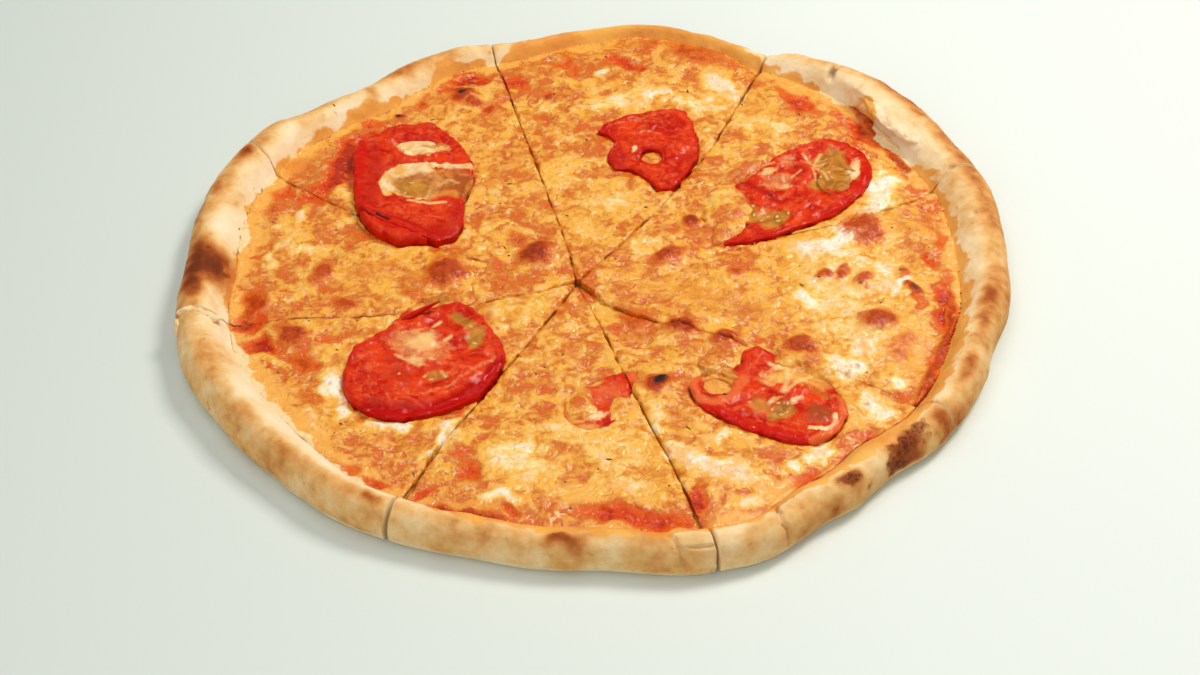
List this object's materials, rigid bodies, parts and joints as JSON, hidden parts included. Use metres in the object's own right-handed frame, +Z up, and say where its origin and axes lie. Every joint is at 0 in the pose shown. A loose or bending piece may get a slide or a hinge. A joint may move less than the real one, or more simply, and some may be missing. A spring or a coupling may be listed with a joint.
{
  "type": "margherita pizza",
  "caption": "Round baked pizza cut into slices that still lie together: raised uneven rim, tomato sauce, melted cheese and sunken tomato slices, flat underside.",
  "frame": {"origin": "middle of the flat underside, at the centre of the bounding box in plan", "axes": "+Z up out of the topping, +X to the right and +Y away from the viewer when the slice with the long golden fold points right"},
  "size_m": [0.3005, 0.3062, 0.0168],
  "materials": {
    "crust": "baked bread crust, matt and slightly floury, pale cream with golden and scorched spots",
    "cheese": "melted cheese over tomato sauce, oily sheen, golden orange with cream and red patches",
    "tomato": "baked tomato slice, wet and glossy"
  },
  "bodies": {
    "root": {"cheese_1": "cheese", "cheese_2": "cheese", "cheese_3": "cheese", "cheese_4": "cheese", "cheese_5": "cheese", "cheese_6": "cheese", "cheese_7": "cheese", "cheese_8": "cheese", "crust_1": "crust", "crust_2": "crust", "crust_3": "crust", "crust_4": "crust", "crust_5": "crust", "crust_6": "crust", "crust_7": "crust", "crust_8": "crust", "tomato_back_2": "tomato", "tomato_front_6": "tomato", "tomato_front_7": "tomato", "tomato_left_back_3": "tomato", "tomato_left_back_4": "tomato", "tomato_left_front_4": "tomato", "tomato_left_front_5": "tomato", "tomato_right_back_1": "tomato", "tomato_right_front_7": "tomato"}
  },
  "joints": []
}
